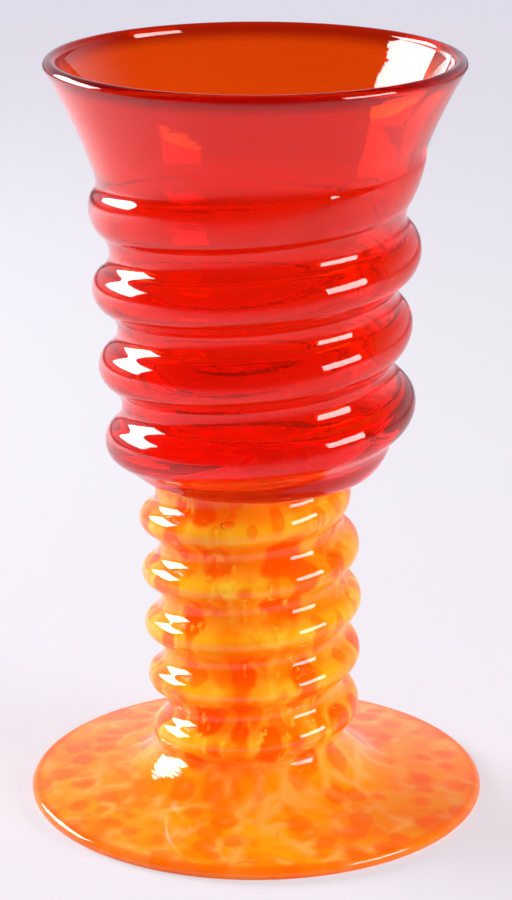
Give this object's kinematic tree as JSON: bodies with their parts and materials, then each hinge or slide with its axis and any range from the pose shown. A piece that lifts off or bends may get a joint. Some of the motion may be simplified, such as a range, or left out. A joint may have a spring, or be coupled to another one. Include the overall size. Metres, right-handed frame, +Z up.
{
  "type": "glass water goblet",
  "caption": "Blown glass goblet: flared bowl with a rib wound round it, on a hollow ribbed stem that opens into a wide shallow conical foot.",
  "frame": {"origin": "centre of the foot, on the plane that the goblet rests on", "axes": "+Z up the goblet from the foot to the lip; the rib winds up round +Z as a right-handed screw, with one crest 145 mm up on the +X side; the stem leans 1.6 mm towards -X"},
  "size_m": [0.1034, 0.1034, 0.17],
  "materials": {
    "red_glass": "polished",
    "clear_stem_glass": "polished",
    "mottled_stem_glass": "polished",
    "clear_foot_glass": "polished",
    "mottled_foot_glass": "polished"
  },
  "bodies": {
    "root": {"bowl": "red_glass", "stem_clear_layer": "clear_stem_glass", "stem_mottled_bubble": "mottled_stem_glass", "foot_clear_layer": "clear_foot_glass", "foot_mottled_layer": "mottled_foot_glass"}
  },
  "joints": []
}
